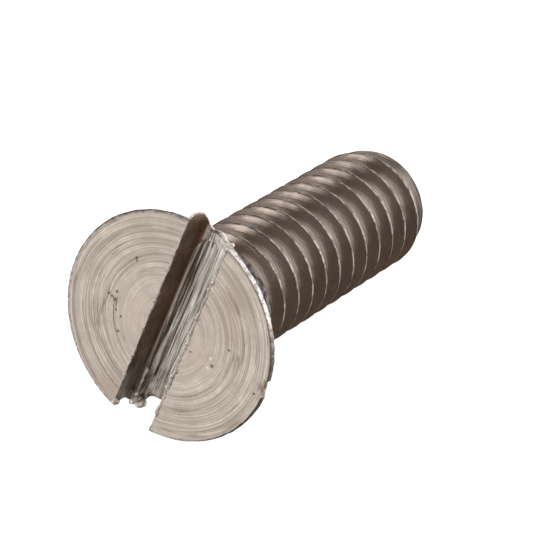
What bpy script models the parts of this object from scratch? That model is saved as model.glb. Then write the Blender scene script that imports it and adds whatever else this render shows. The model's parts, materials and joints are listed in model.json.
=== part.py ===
# Slotted countersunk machine screw, M2 x 6, lying at rest on a level surface.
# The screw is shaped upright in its own frame: the head's flat face at height 0, the tip pointing
# down, the slot along X. An empty then lays it down on its rim, its slot burr and its thread end.
# Metres, +Z up.
import bpy
import bmesh
from math import asin, atan2, cos, pi, radians, sin, sqrt, tan, tau
from mathutils import Matrix, Vector

# Head
HEAD_DIAMETER = 0.0035
CONE_ANGLE = radians(90)
FACE_EDGE_RADIUS = 0.000055
RIM_HEIGHT = 0.000015

# Thread and shank
LENGTH = 0.006
THREAD_DIAMETER = 0.001944
THREAD_PITCH = 0.0004
THREAD_DEPTH = 0.00022
THREAD_CREST = 0.00005
THREAD_FLANK_ANGLE = radians(30)
CREST_AT_SLOT = 0.001342
TIP_DIAMETER = 0.0017
TIP_CHAMFER = 0.00034

# Sawn slot, and the burr that the saw pushed out at each of its ends
SLOT_WIDTH = 0.00069
SLOT_DEPTH = 0.00057
BURR_WALL = 0.00005
BURR_TOP = 0.0001
BURR_SEAT = 0.0002
# How far each stretch of a burr stands out past the head's radius, or stays short of it
BURR_LOW = {"left_top": 0.00003, "left_bottom": 0.00012, "floor_left": 0.00006, "floor_middle": -0.00017,
            "right_bottom": -0.00022, "right_top": -0.00007}
BURR_HIGH = {"left_top": 0.00003, "left_bottom": -0.00015, "floor_left": -0.00019, "floor_middle": -0.00025,
             "right_bottom": -0.0003, "right_top": -0.00007}

# Nick in the rim
NICK_ANGLE = radians(93)
NICK_LENGTH = 0.00042
NICK_DEPTH = 0.00006
NICK_HEIGHT = 0.00016

# Lying pose: the way down seen from the screw, before it settles on its exact points of support
SLOT_TO_GROUND = radians(19)

# Fineness of the turned shapes
TURN_STEPS = 48
EDGE_STEPS = 3
CUTTER_OVERRUN = 0.0003

HEAD_RADIUS = HEAD_DIAMETER / 2
THREAD_RADIUS = THREAD_DIAMETER / 2
CONE_HEIGHT = (HEAD_RADIUS - THREAD_RADIUS) / tan(CONE_ANGLE / 2)
HEAD_HEIGHT = FACE_EDGE_RADIUS + RIM_HEIGHT + CONE_HEIGHT


def clear_scene():
    for obj in list(bpy.data.objects):
        bpy.data.objects.remove(obj, do_unlink=True)


def steel(name):
    """Plain bright stainless steel."""
    material = bpy.data.materials.new(name)
    material.use_nodes = True
    shader = material.node_tree.nodes["Principled BSDF"]
    shader.inputs["Base Color"].default_value = (0.60, 0.56, 0.51, 1)
    shader.inputs["Metallic"].default_value = 1.0
    shader.inputs["Roughness"].default_value = 0.32
    return material


def new_object(name, bm):
    """Link a new object that holds the mesh, with its faces pointing outwards."""
    bmesh.ops.recalc_face_normals(bm, faces=bm.faces)
    mesh = bpy.data.meshes.new(name)
    bm.to_mesh(mesh)
    bm.free()
    obj = bpy.data.objects.new(name, mesh)
    bpy.context.scene.collection.objects.link(obj)
    return obj


def tool(name, bm):
    """A solid that only serves a Boolean, hidden from the model itself."""
    obj = new_object(name, bm)
    obj.hide_render = True
    obj.display_type = "WIRE"
    return obj


def combine(obj, other, operation):
    modifier = obj.modifiers.new(other.name, "BOOLEAN")
    modifier.operation = operation
    modifier.solver = "EXACT"
    modifier.object = other


def turned_outline():
    """Half outline of the blank, from the centre of the face down to the centre of the tip."""
    points = [(0, 0)]
    for i in range(EDGE_STEPS + 1):
        angle = pi / 2 * (1 - i / EDGE_STEPS)
        points.append((HEAD_RADIUS + FACE_EDGE_RADIUS * (cos(angle) - 1),
                       FACE_EDGE_RADIUS * (sin(angle) - 1)))
    points.append((HEAD_RADIUS, -FACE_EDGE_RADIUS - RIM_HEIGHT))
    points.append((THREAD_RADIUS, -HEAD_HEIGHT))
    points.append((THREAD_RADIUS, TIP_CHAMFER - LENGTH))
    points.append((TIP_DIAMETER / 2, -LENGTH))
    points.append((0, -LENGTH))
    return points


def screw_blank():
    """Head, cone, shank and tip turned as one piece."""
    mesh = bpy.data.meshes.new("screw")
    outline = [(radius, 0, height) for radius, height in turned_outline()]
    mesh.from_pydata(outline, [(i, i + 1) for i in range(len(outline) - 1)], [])
    obj = bpy.data.objects.new("screw", mesh)
    bpy.context.scene.collection.objects.link(obj)
    turn = obj.modifiers.new("turn", "SCREW")
    turn.angle = tau
    turn.steps = TURN_STEPS
    turn.render_steps = TURN_STEPS
    turn.use_merge_vertices = True
    turn.merge_threshold = 0.000001
    return obj


def thread_groove():
    """The helical groove, as one solid: a trapezoid carried round and down the shank."""
    overhang = THREAD_CREST / 4
    bottom = THREAD_RADIUS - THREAD_DEPTH
    top = THREAD_RADIUS + overhang
    half_top = (THREAD_PITCH - THREAD_CREST) / 2 + overhang * tan(THREAD_FLANK_ANGLE)
    half_bottom = half_top - (top - bottom) * tan(THREAD_FLANK_ANGLE)
    step = tau / TURN_STEPS
    groove_at_slot = THREAD_PITCH / 2 - CREST_AT_SLOT
    start_height = -HEAD_HEIGHT - half_top
    start_step = round((start_height - groove_at_slot) / THREAD_PITCH * TURN_STEPS)
    start_height = groove_at_slot + start_step / TURN_STEPS * THREAD_PITCH
    steps = round((start_height + LENGTH + THREAD_PITCH) / THREAD_PITCH * TURN_STEPS)
    bm = bmesh.new()
    section = [(bottom, half_bottom), (top, half_top), (top, -half_top), (bottom, -half_bottom)]
    first = Matrix.Rotation(start_step * step, 4, "Z") @ Matrix.Translation((0, 0, start_height))
    ring = [bm.verts.new(first @ Vector((radius, 0, height))) for radius, height in section]
    bm.faces.new(ring)
    last = ring
    for i in range(1, steps + 1):
        drop = Matrix.Translation((0, 0, -i * THREAD_PITCH / TURN_STEPS))
        place = Matrix.Rotation(-i * step, 4, "Z") @ drop @ first
        ring = [bm.verts.new(place @ Vector((radius, 0, height))) for radius, height in section]
        for j in range(len(section)):
            bm.faces.new((last[j - 1], last[j], ring[j], ring[j - 1]))
        last = ring
    bm.faces.new(last)
    return tool("thread_groove", bm)


def cone_radius(depth):
    """Radius of the head's cone at a depth under the face."""
    below_rim = depth - FACE_EDGE_RADIUS - RIM_HEIGHT
    return HEAD_RADIUS - below_rim * tan(CONE_ANGLE / 2)


def slot_burr(name, side, reach):
    """Metal pushed out past the cone at one end of the slot, still solid until the slot is cut."""
    half = SLOT_WIDTH / 2 + BURR_WALL
    floor = -SLOT_DEPTH - BURR_WALL
    left, middle, right = -half + BURR_WALL, 0, half - BURR_WALL
    outline = [(-half, -BURR_TOP, "left_top"), (-half, floor + BURR_WALL, "left_bottom"),
               (left, floor, "left_bottom"), ((left + middle) / 2, floor, "floor_left"),
               (middle, floor, "floor_middle"), (right, floor, "right_bottom"),
               (half, floor + BURR_WALL, "right_bottom"), (half, -BURR_TOP, "right_top")]
    root = side * (sqrt(cone_radius(SLOT_DEPTH) ** 2 - half ** 2) - BURR_SEAT)
    bm = bmesh.new()
    inner = [bm.verts.new((root, y, z)) for y, z, _ in outline]
    outer = [bm.verts.new((side * (HEAD_RADIUS + reach[key]), y, z)) for y, z, key in outline]
    for i in range(len(outline)):
        bm.faces.new((inner[i - 1], inner[i], outer[i], outer[i - 1]))
    bm.faces.new(inner)
    bm.faces.new(outer)
    bmesh.ops.triangulate(bm, faces=[face for face in bm.faces if len(face.verts) > 4])
    return tool(name, bm)


def slot_cutter():
    """The saw's path, straight across the face and past both burrs."""
    longest = HEAD_RADIUS + max(list(BURR_LOW.values()) + list(BURR_HIGH.values()))
    length = 2 * (longest + CUTTER_OVERRUN)
    bm = bmesh.new()
    bmesh.ops.create_cube(bm, size=1)
    bmesh.ops.scale(bm, verts=bm.verts, vec=(length, SLOT_WIDTH, SLOT_DEPTH + CUTTER_OVERRUN))
    bmesh.ops.translate(bm, verts=bm.verts, vec=(0, 0, (CUTTER_OVERRUN - SLOT_DEPTH) / 2))
    return tool("slot_cutter", bm)


def nick_cutter():
    """A shallow three-sided bite out of the rim's upper edge."""
    bm = bmesh.new()
    half = NICK_LENGTH / 2
    outside = HEAD_RADIUS + CUTTER_OVERRUN
    inside = HEAD_RADIUS - NICK_DEPTH
    corners = [(outside, -half), (outside, half), (inside, 0)]
    for height, reach in ((CUTTER_OVERRUN, NICK_DEPTH), (-NICK_HEIGHT, 0)):
        for x, y in corners:
            bm.verts.new((x - reach, y, height))
    bmesh.ops.convex_hull(bm, input=bm.verts)
    bmesh.ops.rotate(bm, verts=bm.verts, cent=(0, 0, 0), matrix=Matrix.Rotation(NICK_ANGLE, 3, "Z"))
    return tool("nick_cutter", bm)


def evaluated_mesh(obj):
    bpy.context.view_layer.update()
    return obj.evaluated_get(bpy.context.evaluated_depsgraph_get()).to_mesh()


def centre_of_mass(mesh):
    mesh.calc_loop_triangles()
    volume = 0
    moment = Vector()
    for triangle in mesh.loop_triangles:
        a, b, c = (mesh.vertices[i].co for i in triangle.vertices)
        part = a.dot(b.cross(c)) / 6
        volume += part
        moment += part * (a + b + c) / 4
    return moment / volume


def carries(face, weight):
    """Whether the centre of mass stands over the face."""
    normal = face.normal
    corners = [loop.vert.co for loop in face.loops]
    for here, there in zip(corners, corners[1:] + corners[:1]):
        if (there - here).cross(weight - here).dot(normal) < 0:
            return False
    return True


def resting_direction(obj):
    """The downward direction, in the screw's frame, of the flat of its convex hull that carries it."""
    mesh = evaluated_mesh(obj)
    weight = centre_of_mass(mesh)
    lean = asin((HEAD_RADIUS - THREAD_RADIUS) / (LENGTH - TIP_CHAMFER))
    down = Vector((cos(lean) * cos(SLOT_TO_GROUND), cos(lean) * sin(SLOT_TO_GROUND), -sin(lean)))
    bm = bmesh.new()
    bm.from_mesh(mesh)
    result = bmesh.ops.convex_hull(bm, input=bm.verts)
    faces = [item for item in result["geom"] if isinstance(item, bmesh.types.BMFace)]
    for face in faces:
        if face.normal.dot(face.calc_center_median() - weight) < 0:
            face.normal_flip()
        face.normal_update()
    supports = [face for face in faces if carries(face, weight)]
    best = max(supports, key=lambda face: face.normal.dot(down))
    direction = best.normal.copy()
    bm.free()
    return direction


def lay_down(obj):
    """Turn the screw onto its support with an empty, tip towards +X, centred over the origin."""
    down = resting_direction(obj)
    turn = down.rotation_difference(Vector((0, 0, -1))).to_matrix().to_4x4()
    tip = turn @ Vector((0, 0, -1))
    turn = Matrix.Rotation(-atan2(tip.y, tip.x), 4, "Z") @ turn
    corners = [turn @ vertex.co for vertex in evaluated_mesh(obj).vertices]
    low = Vector([min(corner[i] for corner in corners) for i in range(3)])
    high = Vector([max(corner[i] for corner in corners) for i in range(3)])
    shift = Vector((-(low.x + high.x) / 2, -(low.y + high.y) / 2, -low.z))
    rest = bpy.data.objects.new("rest", None)
    bpy.context.scene.collection.objects.link(rest)
    rest.matrix_world = Matrix.Translation(shift) @ turn
    obj.parent = rest
    for modifier in obj.modifiers:
        if modifier.type == "BOOLEAN":
            modifier.object.parent = rest


def main():
    clear_scene()
    screw = screw_blank()
    combine(screw, slot_burr("burr_low", 1, BURR_LOW), "UNION")
    combine(screw, slot_burr("burr_high", -1, BURR_HIGH), "UNION")
    combine(screw, slot_cutter(), "DIFFERENCE")
    combine(screw, nick_cutter(), "DIFFERENCE")
    combine(screw, thread_groove(), "DIFFERENCE")
    screw.data.materials.append(steel("screw_steel"))
    lay_down(screw)


main()
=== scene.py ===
import json
from math import cos, hypot, pi, radians, sin, sqrt, tan, tau

import bpy
from mathutils import Matrix, Vector, noise


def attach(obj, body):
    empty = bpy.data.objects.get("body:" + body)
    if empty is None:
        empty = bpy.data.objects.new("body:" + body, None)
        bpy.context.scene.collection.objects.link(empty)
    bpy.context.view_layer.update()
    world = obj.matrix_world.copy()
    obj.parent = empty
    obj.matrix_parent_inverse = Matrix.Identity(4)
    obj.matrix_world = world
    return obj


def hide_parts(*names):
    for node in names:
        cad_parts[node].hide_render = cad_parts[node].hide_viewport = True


# A slotted countersunk machine screw of bare stainless steel, lying on a white table.
# The screw is shaped in millimetres in its own frame: the flat face at height 0, the tip pointing down,
# the slot along X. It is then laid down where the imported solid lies.

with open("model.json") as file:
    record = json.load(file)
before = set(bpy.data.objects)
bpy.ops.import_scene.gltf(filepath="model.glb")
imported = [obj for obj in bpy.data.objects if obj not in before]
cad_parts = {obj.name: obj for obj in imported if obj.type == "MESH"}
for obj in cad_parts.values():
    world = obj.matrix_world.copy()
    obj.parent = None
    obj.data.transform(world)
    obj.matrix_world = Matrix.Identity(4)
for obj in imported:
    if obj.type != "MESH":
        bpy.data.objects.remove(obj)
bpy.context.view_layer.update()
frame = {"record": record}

MILLIMETRE = 0.001

# Head, with how far its face lies off the shank's axis
HEAD_RADIUS = 1.764
HEAD_OFFSET = (0.014, -0.018)
CONE_ANGLE = radians(90)
EDGE_WIDTH = 0.030
EDGE_DROP = 0.062
RIM_HEIGHT = 0.010
RING_DEPTH = 0.0016

# Thread and shank. A flank's angles are its slope at the crest and at the root. The crest at the slot
# is how deep a crest lies at the side where the slot's lower end is.
LENGTH = 6.0
THREAD_RADIUS = 0.972
THREAD_PITCH = 0.4
THREAD_DEPTH = 0.192
THREAD_CREST = 0.03
FLANK_ANGLES = (radians(30), radians(52))
FLANK_DEPTHS = (0.05, 0.085, 0.12, 0.15, 0.18)
FLANK_SPAN = 0.15
CREST_EASE = 0.012
CREST_EDGE = [(CREST_EASE, 0.006), (0, 0), (-0.004, -0.006), (-CREST_EASE, -CREST_EASE)]
ROOT_WIDTH = 0.4
CREST_AT_SLOT = 1.342
GROOVE_START = radians(150)
GROWING_TURNS = 0.3
NARROW_START = 0.25
TIP_RADIUS = 0.85
TIP_CHAMFER = 0.34

# Slot
SLOT_WIDTH = 0.69
SLOT_DEPTH = 0.57
SLOT_CORNER = 0.03
SAW_RIPPLE = 0.010
SAW_LENGTH = 5.0
SAW_ABOVE = 0.3

# Torn metal round the slot. A lip starts inside the head by the overlap.
BURR_WALL = 0.05
LIP_OVERLAP = 0.30
LIP_UNEVEN_END = 0.05
LIP_RAGGED_EDGE = 0.012
LIP_SUNK_ROOT = 0.03
BEAD_RADIUS = {"left": 0.017, "right": 0.027}
LEFT, RIGHT = -SLOT_WIDTH / 2, SLOT_WIDTH / 2
FLOOR = -SLOT_DEPTH

# Each station of a lip: a point of the slot's section as across and height, how far the lip reaches
# past the rim there, and how far its end curls back into the slot
LOWER_LIP = [
    (LEFT, -0.06, -0.01, 0.00), (LEFT, -0.20, 0.02, 0.00), (LEFT, -0.32, -0.01, 0.00),
    (LEFT, -0.42, 0.06, 0.00), (LEFT, -0.52, 0.11, 0.01), (LEFT + 0.05, FLOOR, 0.11, 0.03),
    (LEFT + 0.12, FLOOR, 0.10, 0.06), (LEFT + 0.19, FLOOR, 0.06, 0.10), (LEFT + 0.23, FLOOR, -0.06, 0.04),
    (LEFT + 0.28, FLOOR, -0.15, 0.01), (LEFT + 0.40, FLOOR, -0.19, 0.02), (LEFT + 0.52, FLOOR, -0.21, 0.01),
    (RIGHT - 0.05, FLOOR, -0.22, 0.00), (RIGHT, -0.50, -0.20, 0.00), (RIGHT, -0.35, -0.14, 0.00),
    (RIGHT, -0.22, -0.09, 0.00), (RIGHT, -0.10, -0.06, 0.00)]
UPPER_LIP = [
    (LEFT, -0.05, -0.02, 0.00), (LEFT, -0.14, 0.04, 0.01), (LEFT, -0.26, 0.02, 0.02),
    (LEFT, -0.38, -0.05, 0.02), (LEFT, -0.50, -0.13, 0.01), (LEFT + 0.05, FLOOR, -0.21, 0.01),
    (LEFT + 0.15, FLOOR, -0.32, 0.01), (LEFT + 0.28, FLOOR, -0.31, 0.01), (LEFT + 0.42, FLOOR, -0.35, 0.01),
    (LEFT + 0.55, FLOOR, -0.38, 0.02), (RIGHT - 0.05, FLOOR, -0.42, 0.02), (RIGHT, -0.48, -0.42, 0.00),
    (RIGHT, -0.34, -0.33, 0.00), (RIGHT, -0.22, -0.22, 0.00), (RIGHT, -0.12, -0.14, 0.00)]

# Chips of torn metal: place and size
CHIPS = [
    ((1.69, -0.355, -0.06), 0.064), ((1.735, -0.21, -0.44), 0.056), ((1.775, -0.24, -0.47), 0.058),
    ((1.76, -0.14, -0.44), 0.066), ((1.74, -0.18, -0.47), 0.060), ((1.70, -0.09, -0.44), 0.058),
    ((1.77, -0.24, -0.41), 0.058), ((-1.745, 0.365, -0.08), 0.038)]

# The curled sliver at the upper end, along the torn lip's edge: its line, with its thickness
SLIVER = [
    ((-1.42, -0.19, -0.580), 0.016), ((-1.470, -0.12, -0.560), 0.026), ((-1.50, -0.05, -0.545), 0.032),
    ((-1.490, 0.01, -0.540), 0.032), ((-1.435, 0.06, -0.545), 0.028), ((-1.405, 0.12, -0.550), 0.036),
    ((-1.400, 0.19, -0.540), 0.034), ((-1.395, 0.27, -0.500), 0.024), ((-1.440, 0.335, -0.390), 0.022),
    ((-1.545, 0.345, -0.260), 0.024), ((-1.660, 0.350, -0.140), 0.026), ((-1.715, 0.360, -0.060), 0.028),
    ((-1.740, 0.400, -0.035), 0.014)]

# Rim: the middle of the stretch where a highlight is painted on it, and the nick in it
PAINTED_HIGHLIGHT_ANGLE = radians(156)
NICK_ANGLE = radians(92)
NICK_LENGTH = 0.38
NICK_DEPTH = 0.09
NICK_HEIGHT = 0.34
NICK_SLANT = radians(12)

NECK = -(EDGE_DROP + RIM_HEIGHT + (HEAD_RADIUS - THREAD_RADIUS) / tan(CONE_ANGLE / 2))

# Light: each soft panel's direction, the angles where it starts and stops fading, and its strength
SOFT_WHITE = (1.0, 0.975, 0.955)
PANELS = [
    ((-0.82, 0.52, -0.27), 16, 36, 0.94),
    ((-0.69, 0.43, 0.585), 4, 21, 1.95),
    ((-0.45, 0.82, 0.36), 6, 22, 0.30),
    ((-0.73, -0.45, 0.52), 10, 36, 0.07),
    ((0.30, -0.74, 0.60), 24, 60, 0.88),
    ((0.80, -0.52, -0.20), 18, 42, 0.72),
    ((0.12, -0.97, 0.05), 14, 38, 0.55),
    ((0.88, 0.08, 0.47), 12, 32, 0.50),
    ((0.10, 0.60, 0.80), 10, 36, 0.60)]
ROOM_LIGHT = (0.168, 0.132, 0.107)
TABLE_GLOW = 0.80

# Fineness
TURN_STEPS = 320
FACE_RINGS = 72
EDGE_STEPS = 8
CONE_BANDS = 10
THREAD_STEPS = 120
FLOOR_CUTS = 36
LIP_ROWS = 12
BEAD_STEPS = 240
NICK_CUTS = 9
SMOOTH_ANGLE = radians(35)


def pose_from_frame():
    """Where the screw lies: its own frame, in millimetres, to the world, in metres."""
    mounts = {mount["name"]: mount for mount in frame["record"]["mounts"]}
    up = Vector(mounts["head_face"]["axis"]).normalized()
    centre = Vector(mounts["tip_face"]["pos_m"]) + up * LENGTH * MILLIMETRE
    across = Vector(mounts["head_face"]["pos_m"]) - centre
    across = (across - across.dot(up) * up).normalized()
    along = across.cross(up)
    turn = Matrix((along, across, up)).transposed().to_4x4()
    return Matrix.Translation(centre) @ turn


POSE = pose_from_frame()
TO_WORLD = POSE @ Matrix.Scale(MILLIMETRE, 4)


def start_piece(name):
    """The object that an operator just added, alone selected and in edit mode."""
    obj = bpy.context.object
    obj.name = name
    obj.data.name = name
    bpy.ops.object.mode_set(mode="EDIT")
    bpy.ops.mesh.select_all(action="SELECT")
    return obj


def alone(obj):
    bpy.ops.object.select_all(action="DESELECT")
    obj.select_set(True)
    bpy.context.view_layer.objects.active = obj


def apply_modifier(obj, kind, **settings):
    alone(obj)
    modifier = obj.modifiers.new(kind.lower(), kind)
    for key, value in settings.items():
        setattr(modifier, key, value)
    bpy.ops.object.modifier_apply(modifier=modifier.name)


def combine(obj, other, operation, **settings):
    """Boolean with a piece that isn't needed afterwards."""
    apply_modifier(obj, "BOOLEAN", operation=operation, solver="EXACT", object=other, **settings)
    bpy.data.objects.remove(other, do_unlink=True)


def ring_height(radius):
    """Height of the lathe's tool marks on the face."""
    coarse = noise.noise(Vector((radius * 9, 0, 2)))
    fine = noise.noise(Vector((radius * 31, 0, 5)))
    return RING_DEPTH * (coarse + 0.8 * fine - 1) * min(1, max(0.25, radius / 0.8 - 0.3))


def turned_outline():
    """Half outline of the blank, from the centre of the face to the centre of the tip."""
    flat = HEAD_RADIUS - EDGE_WIDTH
    rim_end = -EDGE_DROP - RIM_HEIGHT
    points = [(0.0, 0.0)]
    for i in range(1, FACE_RINGS):
        radius = flat * i / FACE_RINGS
        points.append((radius, ring_height(radius)))
    for i in range(EDGE_STEPS + 1):
        angle = pi / 2 * (1 - i / EDGE_STEPS)
        points.append((flat + EDGE_WIDTH * cos(angle), EDGE_DROP * (sin(angle) - 1)))
    for i in range(CONE_BANDS + 1):
        share = i / CONE_BANDS
        radius = HEAD_RADIUS + (THREAD_RADIUS - HEAD_RADIUS) * share
        points.append((radius, rim_end + (NECK - rim_end) * share))
    points.append((THREAD_RADIUS, TIP_CHAMFER - LENGTH))
    points.append((TIP_RADIUS + 0.02, 0.04 - LENGTH))
    points.append((TIP_RADIUS - 0.02, -LENGTH))
    points.append((0.0, -LENGTH))
    return points


def turn_blank():
    """Head, cone, shank and tip, turned from one outline, with the head a little off centre."""
    outline = turned_outline()
    bpy.ops.object.select_all(action="DESELECT")
    bpy.ops.mesh.primitive_plane_add(size=0.01, location=(0, 0, 0))
    screw = start_piece("machine_screw")
    bpy.ops.mesh.merge(type="CENTER")
    for here, there in zip(outline, outline[1:]):
        step = (there[0] - here[0], 0, there[1] - here[1])
        bpy.ops.mesh.extrude_region_move(TRANSFORM_OT_translate={"value": step})
    bpy.ops.mesh.select_all(action="SELECT")
    bpy.ops.mesh.spin(steps=TURN_STEPS, angle=tau, center=(0, 0, 0), axis=(0, 0, 1))
    bpy.ops.mesh.select_all(action="SELECT")
    bpy.ops.mesh.remove_doubles(threshold=0.0001)
    bpy.ops.mesh.normals_make_consistent(inside=False)
    bpy.ops.object.mode_set(mode="OBJECT")
    for vertex in screw.data.vertices:
        share = max(0, min(1, 1 - vertex.co.z / NECK))
        vertex.co.x += HEAD_OFFSET[0] * share
        vertex.co.y += HEAD_OFFSET[1] * share
    return screw


def groove_section():
    """Outline of the thread groove, as radius and height: eased crests, hollow flanks, round root."""
    half = (THREAD_PITCH - THREAD_CREST) / 2
    side = [(THREAD_RADIUS + outward, half + wider) for outward, wider in CREST_EDGE]
    depth = CREST_EASE
    height = half - CREST_EASE
    for deeper in FLANK_DEPTHS:
        share = (depth + deeper - 2 * CREST_EASE) / 2 / FLANK_SPAN
        angle = FLANK_ANGLES[0] + (FLANK_ANGLES[1] - FLANK_ANGLES[0]) * share
        height -= (deeper - depth) * tan(angle)
        depth = deeper
        side.append((THREAD_RADIUS - depth, height))
    side.append((THREAD_RADIUS - THREAD_DEPTH, height * ROOT_WIDTH))
    return side + [(radius, -height) for radius, height in reversed(side)]


def cut_thread(screw):
    """Cut the helical groove, which deepens and widens over the first part of its first turn."""
    section = groove_section()
    groove_at_slot = THREAD_PITCH / 2 - CREST_AT_SLOT
    start_steps = round(GROOVE_START / tau * THREAD_STEPS)
    start = groove_at_slot + start_steps * THREAD_PITCH / THREAD_STEPS
    steps = round((LENGTH + start + THREAD_PITCH) / THREAD_PITCH * THREAD_STEPS)
    rings = []
    for i in range(steps + 1):
        angle = (start_steps - i) * tau / THREAD_STEPS
        height = start - i * THREAD_PITCH / THREAD_STEPS
        grown = min(1, i / (THREAD_STEPS * GROWING_TURNS))
        lift = THREAD_DEPTH * (1 - grown) ** 2
        ring = []
        for radius, z in section:
            away = radius + lift
            squeeze = 1 if radius > THREAD_RADIUS else NARROW_START + (1 - NARROW_START) * grown
            ring.append((away * cos(angle), away * sin(angle), height + z * squeeze))
        rings.append(ring)
    count = len(section)
    vertices = [point for ring in rings for point in ring]
    faces = [list(range(count)), [len(vertices) - 1 - i for i in range(count)]]
    for i in range(steps):
        for j in range(count):
            k = (j + 1) % count
            faces.append((i * count + j, (i + 1) * count + j, (i + 1) * count + k, i * count + k))
    mesh = bpy.data.meshes.new("groove")
    mesh.from_pydata(vertices, [], faces)
    groove = bpy.data.objects.new("groove", mesh)
    bpy.context.scene.collection.objects.link(groove)
    face_outward(groove)
    combine(screw, groove, "DIFFERENCE")


def face_outward(obj):
    alone(obj)
    bpy.ops.object.mode_set(mode="EDIT")
    bpy.ops.mesh.select_all(action="SELECT")
    bpy.ops.mesh.normals_make_consistent(inside=False)
    bpy.ops.object.mode_set(mode="OBJECT")


def saw_slot(screw):
    """The slot, with a rippled floor and the small round that a worn saw leaves in its corners."""
    bpy.ops.object.select_all(action="DESELECT")
    bpy.ops.mesh.primitive_cube_add(size=1, location=(0, 0, 0))
    saw = start_piece("saw")
    bpy.ops.transform.resize(value=(SAW_LENGTH, SLOT_WIDTH, SLOT_DEPTH + SAW_ABOVE))
    bpy.ops.transform.translate(value=(0, 0, (SAW_ABOVE - SLOT_DEPTH) / 2))
    bpy.ops.mesh.select_all(action="DESELECT")
    bpy.ops.mesh.select_mode(type="EDGE")
    bpy.ops.object.mode_set(mode="OBJECT")
    for edge in saw.data.edges:
        ends = [saw.data.vertices[i].co for i in edge.vertices]
        edge.select = all(end.z < 0 for end in ends) and abs(ends[0].x - ends[1].x) > SAW_LENGTH / 2
    bpy.ops.object.mode_set(mode="EDIT")
    bpy.ops.mesh.bevel(offset=SLOT_CORNER, segments=3)
    bpy.ops.mesh.select_all(action="DESELECT")
    bpy.ops.mesh.select_mode(type="FACE")
    bpy.ops.object.mode_set(mode="OBJECT")
    for polygon in saw.data.polygons:
        polygon.select = polygon.normal.z < -0.99
    bpy.ops.object.mode_set(mode="EDIT")
    bpy.ops.mesh.subdivide(number_cuts=FLOOR_CUTS)
    bpy.ops.object.mode_set(mode="OBJECT")
    for vertex in saw.data.vertices:
        if vertex.co.z < 0.001 - SLOT_DEPTH:
            place = Vector((vertex.co.x * 0.7, vertex.co.y * 13, 0))
            vertex.co.z += SAW_RIPPLE * (noise.noise(place) + 0.5 * noise.noise(place * 2.3))
    combine(screw, saw, "DIFFERENCE")


def cone_radius(depth):
    """Radius of the head's cone at a depth under the face."""
    return HEAD_RADIUS - (depth - EDGE_DROP - RIM_HEIGHT) * tan(CONE_ANGLE / 2)


def slot_lip(name, side, stations):
    """The torn lip round one end of the slot."""
    bpy.ops.object.select_all(action="DESELECT")
    bpy.ops.mesh.primitive_grid_add(x_subdivisions=LIP_ROWS, y_subdivisions=len(stations) - 1, size=1)
    lip = bpy.context.object
    lip.name = name
    root = sqrt(cone_radius(SLOT_DEPTH) ** 2 - (SLOT_WIDTH / 2) ** 2) - LIP_OVERLAP
    across = len(stations)
    steps = len(lip.data.vertices) // across
    middle = Vector((0, 0, -SLOT_DEPTH * 0.35))
    for i, vertex in enumerate(lip.data.vertices):
        y, z, past_rim, curl = stations[i // steps]
        share = (i % steps) / (steps - 1)
        end = HEAD_RADIUS + past_rim + LIP_UNEVEN_END * noise.noise(Vector((y * 14, z * 14, 5 * side)))
        x = side * (root + (end - root) * share)
        inward = (middle - Vector((0, y, z))).normalized()
        ragged = noise.noise(Vector((x * 6, y * 7, z * 7 + side))) * LIP_RAGGED_EDGE * share ** 2
        sunk = LIP_SUNK_ROOT * (1 - share) ** 2 + BURR_WALL / 2 + 0.001
        vertex.co = Vector((x, y, z)) + inward * (curl * share ** 3 + ragged - sunk)
    apply_modifier(lip, "SOLIDIFY", thickness=BURR_WALL, offset=0)
    apply_modifier(lip, "SUBSURF", levels=2, render_levels=2)
    dress(lip)
    for vertex in lip.data.vertices:
        place = vertex.co
        vertex.co = place + vertex.normal * 0.005 * noise.noise(place * 17)
    for polygon in lip.data.polygons:
        inward = (middle - Vector((0, polygon.center.y, polygon.center.z))).normalized()
        zone = "burr"
        if polygon.normal.dot(inward) > 0.6 and polygon.center.y < LEFT + 0.08:
            zone = "wall"
        elif polygon.normal.dot(inward) > 0.6:
            zone = "groove_floor"
        polygon.material_index = ZONES.index(zone)
    return lip


def edge_bead(name, y, wall, radius, seed):
    """The ragged bead that the saw raised along one edge of the slot, thinner at its lower end."""
    bpy.ops.object.select_all(action="DESELECT")
    length = 2 * (sqrt(HEAD_RADIUS ** 2 - y ** 2) - EDGE_WIDTH)
    bpy.ops.mesh.primitive_cylinder_add(vertices=8, radius=1, depth=length, rotation=(0, pi / 2, 0))
    bead = start_piece(name)
    bpy.ops.object.mode_set(mode="OBJECT")
    bpy.ops.object.transform_apply(rotation=True)
    bpy.ops.object.mode_set(mode="EDIT")
    for i in range(1, BEAD_STEPS):
        bpy.ops.mesh.select_all(action="SELECT")
        x = (i / BEAD_STEPS - 0.5) * length
        bpy.ops.mesh.bisect(plane_co=(x, 0, 0), plane_no=(1, 0, 0))
    bpy.ops.object.mode_set(mode="OBJECT")
    for vertex in bead.data.vertices:
        x = vertex.co.x
        wander = noise.noise(Vector((x * 8, seed, 0)))
        grain = max(0, noise.noise(Vector((x * 15, seed, 3))))
        lump = max(0.35, 0.8 + 1.5 * grain + 0.9 * noise.noise(Vector((x * 5, seed, 9))))
        size = radius * lump * min(1, max(0.35, (length / 2 - x) / 0.4))
        vertex.co.y = y + wall * radius * (0.45 + 0.9 * wander) + vertex.co.y * size
        vertex.co.z = -0.004 + vertex.co.z * size * 0.85
    mark(bead, "burr")
    return bead


def chip(place, size):
    """A crumb of torn metal."""
    bpy.ops.object.select_all(action="DESELECT")
    bpy.ops.mesh.primitive_ico_sphere_add(subdivisions=3, radius=size, location=place)
    crumb = start_piece("chip")
    bpy.ops.object.mode_set(mode="OBJECT")
    bpy.ops.object.transform_apply(location=True)
    for vertex in crumb.data.vertices:
        vertex.co += vertex.normal * noise.noise(vertex.co * 11) * size * 0.45
    mark(crumb, "burr")
    return crumb


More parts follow.
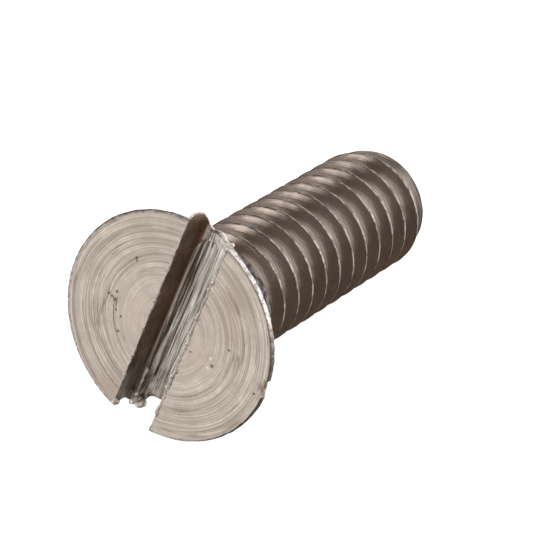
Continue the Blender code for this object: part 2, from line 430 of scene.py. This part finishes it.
def curled_sliver(name, line):
    """A thin sliver of metal, drawn along its line from one small disc."""
    across = (Vector(line[-1][0]) - Vector(line[0][0])).normalized()
    turn = Vector((0, 0, 1)).rotation_difference(across).to_euler()
    bpy.ops.object.select_all(action="DESELECT")
    bpy.ops.mesh.primitive_circle_add(vertices=12, radius=line[0][1], fill_type="NGON", rotation=turn)
    sliver = start_piece(name)
    bpy.ops.object.mode_set(mode="OBJECT")
    bpy.ops.object.transform_apply(rotation=True)
    bpy.ops.object.mode_set(mode="EDIT")
    bpy.ops.mesh.select_all(action="SELECT")
    bpy.ops.transform.translate(value=line[0][0])
    for (here, thin), (there, thick) in zip(line, line[1:]):
        step = Vector(there) - Vector(here)
        bpy.ops.mesh.extrude_region_move(TRANSFORM_OT_translate={"value": step})
        bpy.ops.transform.resize(value=(thick / thin,) * 3, center_override=there)
    bpy.ops.object.mode_set(mode="OBJECT")
    face_outward(sliver)
    apply_modifier(sliver, "SUBSURF", levels=2, render_levels=2)
    for vertex in sliver.data.vertices:
        vertex.co += vertex.normal * noise.noise(vertex.co * 12) * 0.008
    mark(sliver, "burr")
    return sliver


def tear_burrs(screw):
    """All the torn metal round the slot, joined to the head."""
    pieces = [slot_lip("lower_lip", 1, LOWER_LIP), slot_lip("upper_lip", -1, UPPER_LIP),
              edge_bead("left_bead", LEFT, -1, BEAD_RADIUS["left"], 1.3),
              edge_bead("right_bead", RIGHT, 1, BEAD_RADIUS["right"], 7.7)]
    pieces += [chip(place, size) for place, size in CHIPS]
    pieces.append(curled_sliver("upper_sliver", SLIVER))
    burrs = pieces[0]
    bpy.ops.object.select_all(action="DESELECT")
    for piece in pieces:
        piece.select_set(True)
    bpy.context.view_layer.objects.active = burrs
    bpy.ops.object.join()
    combine(screw, burrs, "UNION", use_self=True)


def mark(obj, zone):
    """Give a piece the finish that its faces keep once they are part of the screw."""
    dress(obj)
    for polygon in obj.data.polygons:
        polygon.material_index = ZONES.index(zone)


def dress(obj):
    obj.data.materials.clear()
    for material in STEELS:
        obj.data.materials.append(material)


def dent_rim(screw):
    """The nick in the rim's edge, a little slanted and with a rough bottom."""
    bpy.ops.object.select_all(action="DESELECT")
    bpy.ops.mesh.primitive_cube_add(size=1)
    dent = start_piece("dent")
    bpy.ops.transform.resize(value=(2 * NICK_DEPTH, NICK_LENGTH, NICK_HEIGHT))
    bpy.ops.mesh.subdivide(number_cuts=NICK_CUTS)
    bpy.ops.object.mode_set(mode="OBJECT")
    for vertex in dent.data.vertices:
        vertex.co += vertex.co.normalized() * noise.noise(vertex.co * 16) * 0.05
    place = Matrix.Rotation(NICK_ANGLE, 4, "Z") @ Matrix.Translation((HEAD_RADIUS + 0.030, 0, 0))
    dent.data.transform(place @ Matrix.Rotation(NICK_SLANT, 4, "Z"))
    mark(dent, "nick")
    combine(screw, dent, "DIFFERENCE")


def wear_surface(screw):
    """Small unevenness: a beaten rim and thread crests that aren't quite true."""
    for vertex in screw.data.vertices:
        place = vertex.co.copy()
        radius = hypot(place.x, place.y)
        outward = Vector((place.x, place.y, 0)).normalized()
        if radius > HEAD_RADIUS - 2 * EDGE_WIDTH and place.z > -0.1:
            amount = 0.007 * noise.noise(place * 9) + 0.005 * noise.noise(place * 24)
            vertex.co += outward * amount * 0.8 + Vector((0, 0, -abs(amount)))
        elif radius < THREAD_RADIUS + 0.01 and place.z < NECK - 0.05:
            vertex.co += outward * (0.004 * noise.noise(place * 7) + 0.002 * noise.noise(place * 19))


def finish_zones(screw):
    """Give each surface its own finish, by where it lies on the upright screw."""
    rim_inside = HEAD_RADIUS - EDGE_WIDTH * 1.1
    half_slot = SLOT_WIDTH / 2 + 0.01
    for polygon in screw.data.polygons:
        if polygon.material_index:
            continue
        x, y, z = polygon.center
        radius = hypot(x, y)
        in_slot = abs(y) < half_slot and -SLOT_DEPTH - 0.05 < z and radius < HEAD_RADIUS - 0.01
        if in_slot and abs(polygon.normal.y) > 0.5:
            zone = "wall"
        elif in_slot and z < 0.05 - SLOT_DEPTH and polygon.normal.z > 0.3:
            zone = "groove_floor"
        elif z > -0.02 and radius < rim_inside and polygon.normal.z > 0.8:
            zone = "face"
        elif radius > rim_inside - 0.02 and z > -EDGE_DROP - RIM_HEIGHT - 0.01:
            zone = "rim"
        elif z > NECK:
            zone = "cone"
        elif z < TIP_CHAMFER * 1.05 - LENGTH and radius > THREAD_RADIUS * 0.84 or z < 0.06 - LENGTH:
            zone = "tip"
        elif z > NECK - 0.45 and radius > THREAD_RADIUS - 0.005:
            zone = "neck"
        else:
            zone = "thread"
        polygon.material_index = ZONES.index(zone)


def make_screw():
    screw = turn_blank()
    dress(screw)
    cut_thread(screw)
    saw_slot(screw)
    wear_surface(screw)
    tear_burrs(screw)
    dent_rim(screw)
    finish_zones(screw)
    screw.data.transform(TO_WORLD)
    # Nothing reaches below the table
    for vertex in screw.data.vertices:
        vertex.co.z = max(0, vertex.co.z)
    alone(screw)
    bpy.ops.object.shade_smooth_by_angle(angle=SMOOTH_ANGLE)
    # The tip's end stays flat, because its long triangles would shade unevenly
    down = -(TO_WORLD.to_3x3() @ Vector((0, 0, 1))).normalized()
    for polygon in screw.data.polygons:
        if polygon.material_index == ZONES.index("tip") and polygon.normal.dot(down) > 0.999:
            polygon.use_smooth = False
    return screw


def node(tree, kind, inputs=(), **settings):
    """A new node, with its settings and its inputs, each a value or another node's output."""
    made = tree.nodes.new(kind)
    for key, value in settings.items():
        setattr(made, key, value)
    for key, value in dict(inputs).items():
        if isinstance(value, bpy.types.NodeSocket):
            tree.links.new(value, made.inputs[key])
        else:
            made.inputs[key].default_value = value
    return made


def sums(tree, operation, *values):
    made = node(tree, "ShaderNodeMath", operation=operation)
    for socket, value in zip(made.inputs, values):
        if isinstance(value, bpy.types.NodeSocket):
            tree.links.new(value, socket)
        else:
            socket.default_value = value
    return made.outputs["Value"]


def vector(tree, x, y, z):
    return node(tree, "ShaderNodeCombineXYZ", {"X": x, "Y": y, "Z": z}).outputs["Vector"]


def grain(tree, place, scale, detail=3.0, roughness=0.5, distortion=0.0):
    """Noise from 0 to 1 over a place."""
    made = node(tree, "ShaderNodeTexNoise", {"Vector": place, "Scale": scale, "Detail": detail,
                                             "Roughness": roughness, "Distortion": distortion})
    return made.outputs["Fac"]


def fade(tree, value, start, end, low=0.0, high=1.0):
    """A smooth step from low to high while the value goes from start to end."""
    made = node(tree, "ShaderNodeMapRange", {"Value": value, "From Min": start, "From Max": end,
                                             "To Min": low, "To Max": high}, interpolation_type="SMOOTHSTEP")
    return made.outputs["Result"]


def blend(tree, share, one, other):
    """A colour between two others."""
    made = node(tree, "ShaderNodeMix", data_type="RGBA")
    colours = [socket for socket in made.inputs if socket.type == "RGBA"]
    link_or_set(tree, made.inputs[0], share)
    link_or_set(tree, colours[0], one)
    link_or_set(tree, colours[1], other)
    return [socket for socket in made.outputs if socket.type == "RGBA"][0]


def thin_lines(tree, value, width):
    """One along thin wandering lines, where a grain passes its middle value."""
    away = sums(tree, "ABSOLUTE", sums(tree, "SUBTRACT", value, 0.5))
    return fade(tree, away, 0.0, width, 1.0, 0.0)


def link_or_set(tree, socket, value):
    if isinstance(value, bpy.types.NodeSocket):
        tree.links.new(value, socket)
    elif socket.type == "RGBA":
        socket.default_value = (*value, 1)
    else:
        socket.default_value = value


class Finish:
    """A bare steel finish, drawn in the screw's own frame and in millimetres."""

    def __init__(self, name):
        self.material = bpy.data.materials.new(name)
        self.material.use_nodes = True
        self.tree = self.material.node_tree
        self.shader = self.tree.nodes["Principled BSDF"]
        self.shader.inputs["Metallic"].default_value = 1.0
        here = node(self.tree, "ShaderNodeTexCoord").outputs["Object"]
        mapping = node(self.tree, "ShaderNodeMapping", {
            "Vector": here, "Location": POSE.translation, "Rotation": POSE.to_euler("XYZ"),
            "Scale": (MILLIMETRE,) * 3}, vector_type="TEXTURE")
        self.place = mapping.outputs["Vector"]
        split = node(self.tree, "ShaderNodeSeparateXYZ", {"Vector": self.place})
        self.x, self.y, self.z = split.outputs
        flat = vector(self.tree, self.x, self.y, 0.0)
        self.radius = node(self.tree, "ShaderNodeVectorMath", {0: flat}, operation="LENGTH").outputs["Value"]
        turn = node(self.tree, "ShaderNodeVectorMath", {0: flat}, operation="NORMALIZE").outputs["Vector"]
        self.turn = node(self.tree, "ShaderNodeSeparateXYZ", {"Vector": turn}).outputs

    def rings(self, across, around, seed=0.0, detail=3.0):
        """Turned rings: fine across the radius, slowly changing on the way round."""
        tree = self.tree
        place = vector(tree, sums(tree, "MULTIPLY", self.radius, across),
                       sums(tree, "MULTIPLY_ADD", self.turn[0], around, seed),
                       sums(tree, "MULTIPLY", self.turn[1], around))
        return grain(tree, place, 1.0, detail)

    def streaks(self, along_x, along_y, along_z, detail=3.0, seed=0.0):
        """Grain that is stretched along the axes with a small number."""
        tree = self.tree
        place = vector(tree, sums(tree, "MULTIPLY_ADD", self.x, along_x, seed),
                       sums(tree, "MULTIPLY", self.y, along_y), sums(tree, "MULTIPLY", self.z, along_z))
        return grain(tree, place, 1.0, detail)

    def spot(self, x, y, inner, outer):
        """One where a mark lies on the face, fading to nothing round it."""
        tree = self.tree
        offset = vector(tree, sums(tree, "SUBTRACT", self.x, x), sums(tree, "SUBTRACT", self.y, y), 0.0)
        away = node(tree, "ShaderNodeVectorMath", {0: offset}, operation="LENGTH").outputs["Value"]
        ragged = sums(tree, "MULTIPLY_ADD", grain(tree, self.place, 30.0, 2.0), outer, away)
        return fade(tree, ragged, inner + outer / 2, outer * 1.5, 1.0, 0.0)

    def arc(self, radius, angle, half_angle, width):
        """One along a scored piece of a ring, fading to nothing at its ends."""
        tree = self.tree
        middle = vector(tree, *self.turn[:2], 0.0)
        towards = node(tree, "ShaderNodeVectorMath", {0: middle, 1: (cos(angle), sin(angle), 0)},
                       operation="DOT_PRODUCT").outputs["Value"]
        within = fade(tree, towards, cos(half_angle), cos(half_angle * 0.6))
        away = sums(tree, "ABSOLUTE", sums(tree, "SUBTRACT", self.radius, radius))
        ragged = sums(tree, "MULTIPLY_ADD", grain(tree, self.place, 22.0, 3.0), 2 * width, away)
        return sums(tree, "MULTIPLY", within, fade(tree, ragged, 0.7 * width, 1.5 * width, 1.0, 0.0))

    def done(self, colour, roughness, height, depth):
        """Colour, roughness and relief, the relief with its depth in millimetres."""
        tree = self.tree
        link_or_set(tree, self.shader.inputs["Base Color"], colour)
        link_or_set(tree, self.shader.inputs["Roughness"], roughness)
        bump = node(tree, "ShaderNodeBump", {"Height": height, "Distance": depth * MILLIMETRE,
                                             "Strength": 1.0})
        tree.links.new(bump.outputs["Normal"], self.shader.inputs["Normal"])
        return self.material


def turned_face():
    """The lathe-turned face: fine uneven rings, a smoother middle, stains, pits and scores."""
    it = Finish("turned_face")
    tree = it.tree
    fine = it.rings(56.0, 0.9, detail=2.0)
    wide = it.rings(17.0, 0.7, seed=4.0, detail=2.0)
    dark_lines = thin_lines(tree, it.rings(6.0, 0.35, seed=7.0, detail=5.0), 0.022)
    cloud = grain(tree, it.place, 2.2, 4.0)
    speck = grain(tree, it.place, 26.0, 3.0)
    outer = fade(tree, it.radius, 0.55, 1.30, 0.28, 1.0)
    rings = sums(tree, "ADD", sums(tree, "MULTIPLY", fine, 0.62), sums(tree, "MULTIPLY", wide, 0.38))
    contrast = sums(tree, "MULTIPLY_ADD", sums(tree, "SUBTRACT", rings, 0.5), outer, 0.5)
    steel = blend(tree, fade(tree, contrast, 0.39, 0.61), (0.38, 0.34, 0.30), (0.67, 0.625, 0.575))
    patchy = fade(tree, cloud, 0.35, 0.6, 0.3, 0.95)
    scoring = sums(tree, "MULTIPLY", sums(tree, "MULTIPLY", dark_lines, outer), patchy)
    scored = blend(tree, scoring, steel, (0.24, 0.20, 0.17))
    mottled = blend(tree, fade(tree, grain(tree, it.place, 9.0, 4.0, 0.65), 0.40, 0.60, 0.0, 0.28), scored,
                    (0.42, 0.365, 0.315))
    worn = blend(tree, fade(tree, speck, 0.60, 0.78, 0.0, 0.40), mottled, (0.32, 0.27, 0.23))
    colour = blend(tree, fade(tree, cloud, 0.45, 0.70, 0.0, 0.25), worn, (0.50, 0.425, 0.355))
    for x, y, size, share, tint in FACE_STAINS:
        stain = it.spot(x, y, size * 0.1, size)
        colour = blend(tree, sums(tree, "MULTIPLY", stain, share), colour, tint)
    marks = None
    for x, y, size in FACE_PITS:
        pit = it.spot(x, y, size * 0.3, size)
        marks = pit if marks is None else sums(tree, "MAXIMUM", marks, pit)
    for radius, angle, half_angle, width, share in FACE_SCORES:
        score = it.arc(radius, radians(angle), radians(half_angle), width)
        marks = sums(tree, "MAXIMUM", marks, sums(tree, "MULTIPLY", score, share))
    colour = blend(tree, sums(tree, "MULTIPLY", marks, 0.85), colour, (0.13, 0.10, 0.08))
    cuts = sums(tree, "SUBTRACT", sums(tree, "MULTIPLY", rings, outer), sums(tree, "MULTIPLY", scoring, 0.3))
    height = sums(tree, "SUBTRACT", sums(tree, "MULTIPLY_ADD", speck, 0.25, cuts), marks)
    return it.done(colour, fade(tree, cloud, 0.3, 0.7, 0.24, 0.34), height, 0.0035)


def sawn_floor():
    """The slot's floor, streaked along the saw cut, with a painted highlight towards the upper end."""
    it = Finish("sawn_floor")
    tree = it.tree
    broad = it.streaks(0.9, 11.0, 0.0, 2.0)
    fine = it.streaks(1.6, 42.0, 0.0, 3.0, seed=3.0)
    mixed = sums(tree, "ADD", sums(tree, "MULTIPLY", broad, 0.55), sums(tree, "MULTIPLY", fine, 0.45))
    streaky = blend(tree, fade(tree, mixed, 0.38, 0.60), (0.33, 0.305, 0.275), (0.71, 0.685, 0.645))
    cloud = grain(tree, it.place, 3.0, 3.0)
    lower = fade(tree, sums(tree, "MULTIPLY_ADD", cloud, 0.4, it.x), 1.14, 1.40, 0.0, 0.95)
    scored = blend(tree, fade(tree, fine, 0.42, 0.62), (0.20, 0.18, 0.16), (0.42, 0.39, 0.355))
    # Painted highlight: the steel grows near-white towards the upper end
    upper = fade(tree, sums(tree, "MULTIPLY_ADD", cloud, 0.4, it.x), -0.70, -1.20, 0.0, 0.5)
    brightened = blend(tree, upper, streaky, (0.95, 0.93, 0.89))
    colour = blend(tree, lower, brightened, scored)
    return it.done(colour, 0.28, mixed, 0.014)


def sawn_wall_painted_shade():
    """The slot's walls: dark brown as painted shade inside the slot, with grey scoring towards the lower end.
    """
    it = Finish("sawn_wall_painted_shade")
    tree = it.tree
    fine = it.streaks(1.4, 0.0, 34.0, 3.0)
    cloud = grain(tree, it.place, 3.0, 3.0)
    # Painted shade: dark brown for the slot's walls, which lie in shade
    brown = blend(tree, fade(tree, cloud, 0.35, 0.65), (0.32, 0.225, 0.172), (0.44, 0.345, 0.285))
    grey = blend(tree, fade(tree, fine, 0.40, 0.60), (0.34, 0.31, 0.29), (0.70, 0.66, 0.62))
    lower = fade(tree, sums(tree, "MULTIPLY_ADD", cloud, 0.5, it.x), 1.10, 1.40)
    colour = blend(tree, lower, brown, grey)
    return it.done(colour, 0.34, fine, 0.010)


def dented_rim_painted_light():
    """The rim, full of small dents: a painted highlight over one stretch, painted shade round the nick, dull
    elsewhere.
    """
    it = Finish("dented_rim_painted_light")
    tree = it.tree
    dents = grain(tree, it.place, 13.0, 4.0, 0.65)
    facing = vector(tree, it.turn[0], it.turn[1], 0.0)
    middle = (cos(PAINTED_HIGHLIGHT_ANGLE), sin(PAINTED_HIGHLIGHT_ANGLE), 0)
    towards = node(tree, "ShaderNodeVectorMath", {0: facing, 1: middle},
                   operation="DOT_PRODUCT").outputs["Value"]
    # Painted highlight: near-white steel over the stretch that faces the highlight angle
    bright = blend(tree, fade(tree, dents, 0.38, 0.54), (0.46, 0.42, 0.415), (0.97, 0.94, 0.93))
    dull = blend(tree, fade(tree, dents, 0.38, 0.60), (0.33, 0.295, 0.285), (0.62, 0.59, 0.58))
    dark = blend(tree, fade(tree, dents, 0.38, 0.60), (0.19, 0.17, 0.165), (0.45, 0.42, 0.41))
    # Painted shade: darker steel over the side round the nick
    beside = blend(tree, fade(tree, it.turn[1], 0.50, 0.85), dull, dark)
    colour = blend(tree, fade(tree, towards, 0.80, 0.93), beside, bright)
    return it.done(colour, 0.40, dents, 0.009)


def dark_violet_neck():
    """The plain collar where the thread runs out, a dull, dark violet grey."""
    it = Finish("dark_violet_neck")
    tree = it.tree
    cloud = grain(tree, it.place, 11.0, 4.0)
    colour = blend(tree, fade(tree, cloud, 0.40, 0.62), (0.06, 0.048, 0.050), (0.25, 0.225, 0.23))
    return it.done(colour, 0.38, cloud, 0.010)


def turned_cone():
    """The cone under the head, turned in fine rings."""
    it = Finish("turned_cone")
    tree = it.tree
    fine = it.rings(34.0, 1.4)
    cloud = grain(tree, it.place, 2.4, 4.0)
    steel = blend(tree, fade(tree, fine, 0.36, 0.64), (0.38, 0.33, 0.29), (0.60, 0.55, 0.49))
    colour = blend(tree, fade(tree, cloud, 0.42, 0.68, 0.0, 0.5), steel, (0.46, 0.38, 0.31))
    return it.done(colour, 0.30, fine, 0.005)


def threaded():
    """The thread: brown steel with faint turning lines, a painted highlight that makes it paler and greyer
    deep in the groove, and painted shade on the crests.
    """
    it = Finish("threaded")
    tree = it.tree
    cloud = grain(tree, it.place, 3.2, 4.0)
    lines = it.rings(70.0, 5.0, detail=2.0)
    wander = sums(tree, "MULTIPLY_ADD", sums(tree, "SUBTRACT", cloud, 0.5), 0.05, it.radius)
    # Painted highlight: paler, greyer steel deep in each groove
    deep = fade(tree, wander, THREAD_RADIUS - 0.10, THREAD_RADIUS - 0.18)
    flank = blend(tree, fade(tree, cloud, 0.38, 0.62), (0.43, 0.365, 0.32), (0.36, 0.305, 0.285))
    groove = blend(tree, deep, flank, (0.46, 0.42, 0.36))
    worn = blend(tree, fade(tree, lines, 0.50, 0.68, 0.0, 0.20), groove, (0.62, 0.57, 0.52))
    # Painted shade: the crests painted dark grey in dashes
    crest = fade(tree, it.radius, THREAD_RADIUS - 0.016, THREAD_RADIUS - 0.006)
    dashes = fade(tree, grain(tree, it.place, 7.0, 3.0), 0.38, 0.62)
    colour = blend(tree, crest, worn, blend(tree, dashes, (0.21, 0.19, 0.175), (0.50, 0.475, 0.45)))
    return it.done(colour, fade(tree, cloud, 0.3, 0.7, 0.16, 0.26), lines, 0.002)


def cut_tip():
    """The cut end and its chamfer."""
    it = Finish("cut_tip")
    tree = it.tree
    rings = it.rings(26.0, 1.5)
    cloud = grain(tree, it.place, 4.0, 4.0)
    steel = blend(tree, fade(tree, rings, 0.38, 0.62), (0.34, 0.30, 0.27), (0.60, 0.56, 0.52))
    colour = blend(tree, fade(tree, cloud, 0.42, 0.66, 0.0, 0.6), steel, (0.30, 0.26, 0.24))
    return it.done(colour, 0.34, rings, 0.008)


def torn_burr():
    """Freshly torn metal: bright, with small dark hollows."""
    it = Finish("torn_burr")
    tree = it.tree
    crumbs = grain(tree, it.place, 13.0, 3.0, 0.6)
    colour = blend(tree, fade(tree, crumbs, 0.32, 0.46), (0.68, 0.62, 0.57), (0.99, 0.97, 0.95))
    return it.done(colour, fade(tree, crumbs, 0.35, 0.65, 0.36, 0.60), crumbs, 0.004)


def broken_nick():
    """The nick's broken, stained surface."""
    it = Finish("broken_nick")
    tree = it.tree
    crumbs = grain(tree, it.place, 18.0, 4.0, 0.6)
    colour = blend(tree, fade(tree, crumbs, 0.40, 0.62), (0.30, 0.24, 0.19), (0.72, 0.64, 0.55))
    return it.done(colour, 0.42, crumbs, 0.022)


# Pits on the face: place across the face and size
FACE_PITS = [
    (0.104, 0.850, 0.040), (-0.303, 0.991, 0.026), (0.122, 0.456, 0.020), (0.143, -0.937, 0.050),
    (0.112, -1.067, 0.034), (0.011, -0.957, 0.030), (0.125, -1.000, 0.030), (0.335, -0.753, 0.024),
    (0.574, -0.709, 0.028), (-0.677, -0.866, 0.030), (-0.640, -0.850, 0.020), (0.290, -0.860, 0.022),
    (0.070, 1.600, 0.024)]

# Scored pieces of rings: radius, angle of the middle, half the angle they span, width and strength
FACE_SCORES = [
    (0.955, -66, 20, 0.014, 0.9), (0.915, -78, 9, 0.022, 0.8), (1.085, -86, 7, 0.020, 0.6),
    (1.45, -35, 30, 0.009, 0.4), (1.20, -28, 26, 0.008, 0.4), (1.34, 38, 28, 0.010, 0.4),
    (1.06, 58, 22, 0.008, 0.4), (1.60, 60, 24, 0.007, 0.4)]

# Stains and two bright flakes on the face: place, size, strength and colour
FACE_STAINS = [
    (-1.24, -0.67, 0.75, 0.35, (0.38, 0.335, 0.29)), (1.46, -0.50, 0.42, 0.55, (0.34, 0.28, 0.235)),
    (-1.07, 0.77, 0.55, 0.40, (0.38, 0.32, 0.265)), (0.15, -0.55, 0.60, 0.35, (0.60, 0.53, 0.44)),
    (0.05, 0.62, 0.50, 0.35, (0.58, 0.51, 0.43)), (-0.10, 1.68, 0.12, 0.80, (0.25, 0.18, 0.13)),
    (1.30, 0.76, 0.70, 0.30, (0.44, 0.40, 0.36)), (-0.62, 0.85, 0.50, 0.35, (0.40, 0.33, 0.28)),
    (0.01, 0.786, 0.034, 0.60, (0.96, 0.92, 0.90)), (0.173, 0.794, 0.028, 0.60, (0.96, 0.92, 0.90))]

FINISHES = {
    "face": turned_face, "groove_floor": sawn_floor, "wall": sawn_wall_painted_shade, "rim": dented_rim_painted_light,
    "neck": dark_violet_neck, "cone": turned_cone, "thread": threaded, "tip": cut_tip, "burr": torn_burr,
    "nick": broken_nick}
ZONES = list(FINISHES)
STEELS = [finish() for finish in FINISHES.values()]


def make_floor():
    """A white table that glows a little, so that it looks plain white. The steel doesn't mirror it."""
    bpy.ops.object.select_all(action="DESELECT")
    bpy.ops.mesh.primitive_plane_add(size=0.5, location=(0, 0, 0))
    floor = bpy.context.object
    floor.name = "white_table"
    floor.visible_glossy = False
    floor.visible_shadow = False
    material = bpy.data.materials.new("white_table")
    material.use_nodes = True
    shader = material.node_tree.nodes["Principled BSDF"]
    shader.inputs["Base Color"].default_value = (0.9, 0.9, 0.9, 1)
    shader.inputs["Roughness"].default_value = 1.0
    shader.inputs["Specular IOR Level"].default_value = 0.0
    shader.inputs["Emission Color"].default_value = (1, 1, 1, 1)
    shader.inputs["Emission Strength"].default_value = TABLE_GLOW
    floor.data.materials.append(material)


def make_lights():
    """A dim warm room with soft white panels. The camera itself sees plain white past the table."""
    world = bpy.data.worlds.new("studio")
    bpy.context.scene.world = world
    world.use_nodes = True
    tree = world.node_tree
    outward = node(tree, "ShaderNodeTexCoord").outputs["Generated"]
    light = ROOM_LIGHT
    for direction, inner, outer, strength in PANELS:
        towards = node(tree, "ShaderNodeVectorMath", {0: outward, 1: Vector(direction).normalized()},
                       operation="DOT_PRODUCT").outputs["Value"]
        panel = fade(tree, towards, cos(radians(outer)), cos(radians(inner)), 0.0, strength)
        light = node(tree, "ShaderNodeVectorMath", {0: panel, 1: SOFT_WHITE, 2: light},
                     operation="MULTIPLY_ADD").outputs["Vector"]
    seen = node(tree, "ShaderNodeLightPath").outputs["Is Camera Ray"]
    tree.links.new(blend(tree, seen, light, (1.0, 1.0, 1.0)), tree.nodes["Background"].inputs["Color"])


# Camera: measured from the photograph, seen from the screw's own frame, in millimetres
VIEW_AXIS = (0.52361727, -0.31815583, 0.79031755)
VIEW_SLOT = (-0.34021696, 0.77238939, 0.53634601)
HEAD_IN_VIEW = (-1.52991258, 0.75609767, 42.97903752)
FOCAL_PIXELS = 2997.1
PHOTO_SIDE = 550
SENSOR = 36.0


def make_camera():
    axis = Vector(VIEW_AXIS)
    slot = Vector(VIEW_SLOT)
    across = axis.cross(slot)
    view_to_screw = Matrix((slot, -across, -axis))
    turn = POSE.to_3x3() @ view_to_screw
    head = Vector(HEAD_IN_VIEW) * MILLIMETRE
    data = bpy.data.cameras.new("camera")
    data.sensor_width = SENSOR
    data.lens = FOCAL_PIXELS * SENSOR / PHOTO_SIDE
    data.clip_start = 0.001
    data.clip_end = 10
    camera = bpy.data.objects.new("camera", data)
    bpy.context.scene.collection.objects.link(camera)
    flip = Matrix.Diagonal((1, -1, -1)).to_3x3()
    camera.matrix_world = Matrix.Translation(POSE.translation - turn @ head) @ (turn @ flip).to_4x4()
    bpy.context.scene.camera = camera


bpy.context.scene.view_settings.view_transform = "Standard"
screw = make_screw()
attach(screw, "root")
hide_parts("screw")
make_floor()
make_lights()
make_camera()
